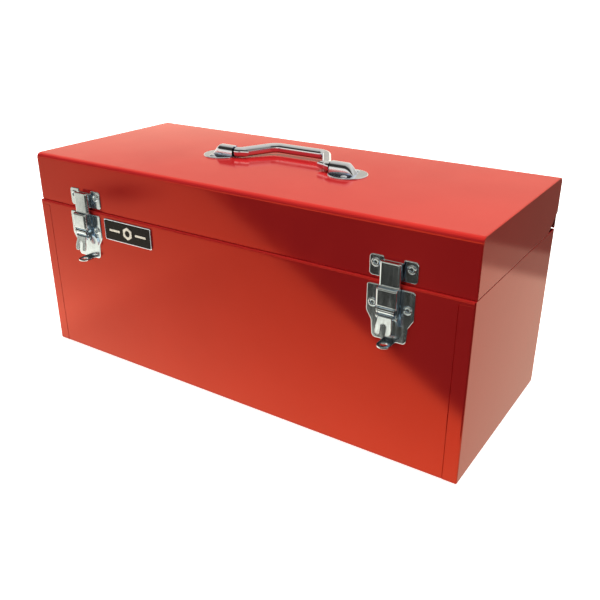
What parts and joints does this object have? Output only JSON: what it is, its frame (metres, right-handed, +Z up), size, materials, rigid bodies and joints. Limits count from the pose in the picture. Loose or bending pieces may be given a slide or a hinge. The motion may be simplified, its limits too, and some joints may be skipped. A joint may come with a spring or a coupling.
{
  "type": "steel tool box",
  "caption": "Rectangular folded-sheet steel tool box with a hinged flat-top lid, draw latches, a folding carry handle on the lid and a lift-out inner tray.",
  "frame": {"origin": "middle of the flat face that the box stands on, at the mount base_rest", "axes": "+X along the front (the long side), +Y from the latched front to the hinged back, +Z up"},
  "size_m": [0.511, 0.231, 0.2381],
  "materials": {
    "red_paint": "gloss enamel",
    "bright_nickel": "bright nickel plate on stamped steel",
    "chrome_plate": "bright chrome plate",
    "zinc_steel": "zinc plated",
    "black_enamel": "gloss black enamel"
  },
  "bodies": {
    "body": {"body_wrap": "red_paint", "body_end_left": "red_paint", "body_end_right": "red_paint", "tray_rest_left": "red_paint", "tray_rest_right": "red_paint", "hinge_leaf_body": "red_paint", "hinge_pin": "zinc_steel", "badge_frame": "chrome_plate", "badge_panel": "black_enamel", "latch_base_left": "bright_nickel", "latch_base_right": "bright_nickel", "latch_base_rivets": "bright_nickel", "latch_pivot_pins": "bright_nickel"},
    "lid": {"lid_wrap": "red_paint", "lid_end_left": "red_paint", "lid_end_right": "red_paint", "hinge_leaf_lid": "red_paint", "handle_doubler": "zinc_steel", "handle_bracket_left": "chrome_plate", "handle_bracket_right": "chrome_plate", "handle_bracket_rivets": "chrome_plate", "latch_strike_left": "bright_nickel", "latch_strike_right": "bright_nickel", "latch_strike_rivets": "bright_nickel"},
    "handle": {"handle_grip": "chrome_plate"},
    "lever_left": {"latch_lever_left": "bright_nickel", "latch_link_pin_left": "bright_nickel"},
    "claw_left": {"latch_claw_left": "bright_nickel"},
    "lever_right": {"latch_lever_right": "bright_nickel", "latch_link_pin_right": "bright_nickel"},
    "claw_right": {"latch_claw_right": "bright_nickel"},
    "tray": {"tray_pan": "red_paint", "tray_end_left": "red_paint", "tray_end_right": "red_paint", "tray_handle_tube": "chrome_plate"}
  },
  "joints": [
    {"name": "lid_hinge", "type": "hinge", "parent": "body", "child": "lid", "pos_m": [0, 0.1068, 0.174], "axis": [-1, 0, 0], "range_deg": [0, 100]},
    {"name": "handle_swing", "type": "hinge", "parent": "lid", "child": "handle", "pos_m": [0, 0.0005, 0.2315], "axis": [1, 0, 0], "range_deg": [0, 172]},
    {"name": "tray_lift", "type": "slide", "parent": "body", "child": "tray", "axis": [0, 0, 1], "range_m": [0, 0.035]},
    {"name": "lever_left_pivot", "type": "hinge", "parent": "body", "child": "lever_left", "pos_m": [-0.183, -0.1135, 0.1515], "axis": [-1, 0, 0], "range_deg": [0, 90]},
    {"name": "claw_left_link", "type": "hinge", "parent": "lever_left", "child": "claw_left", "pos_m": [-0.183, -0.113, 0.1455], "axis": [-1, 0, 0], "range_deg": [-113, 0]},
    {"name": "lever_right_pivot", "type": "hinge", "parent": "body", "child": "lever_right", "pos_m": [0.183, -0.1135, 0.1515], "axis": [-1, 0, 0], "range_deg": [0, 90]},
    {"name": "claw_right_link", "type": "hinge", "parent": "lever_right", "child": "claw_right", "pos_m": [0.183, -0.113, 0.1455], "axis": [-1, 0, 0], "range_deg": [-113, 0]}
  ],
  "couplings": [
    {"joint": "claw_left_link", "follows": "lever_left_pivot", "ratio": -1.25},
    {"joint": "claw_right_link", "follows": "lever_right_pivot", "ratio": -1.25}
  ]
}
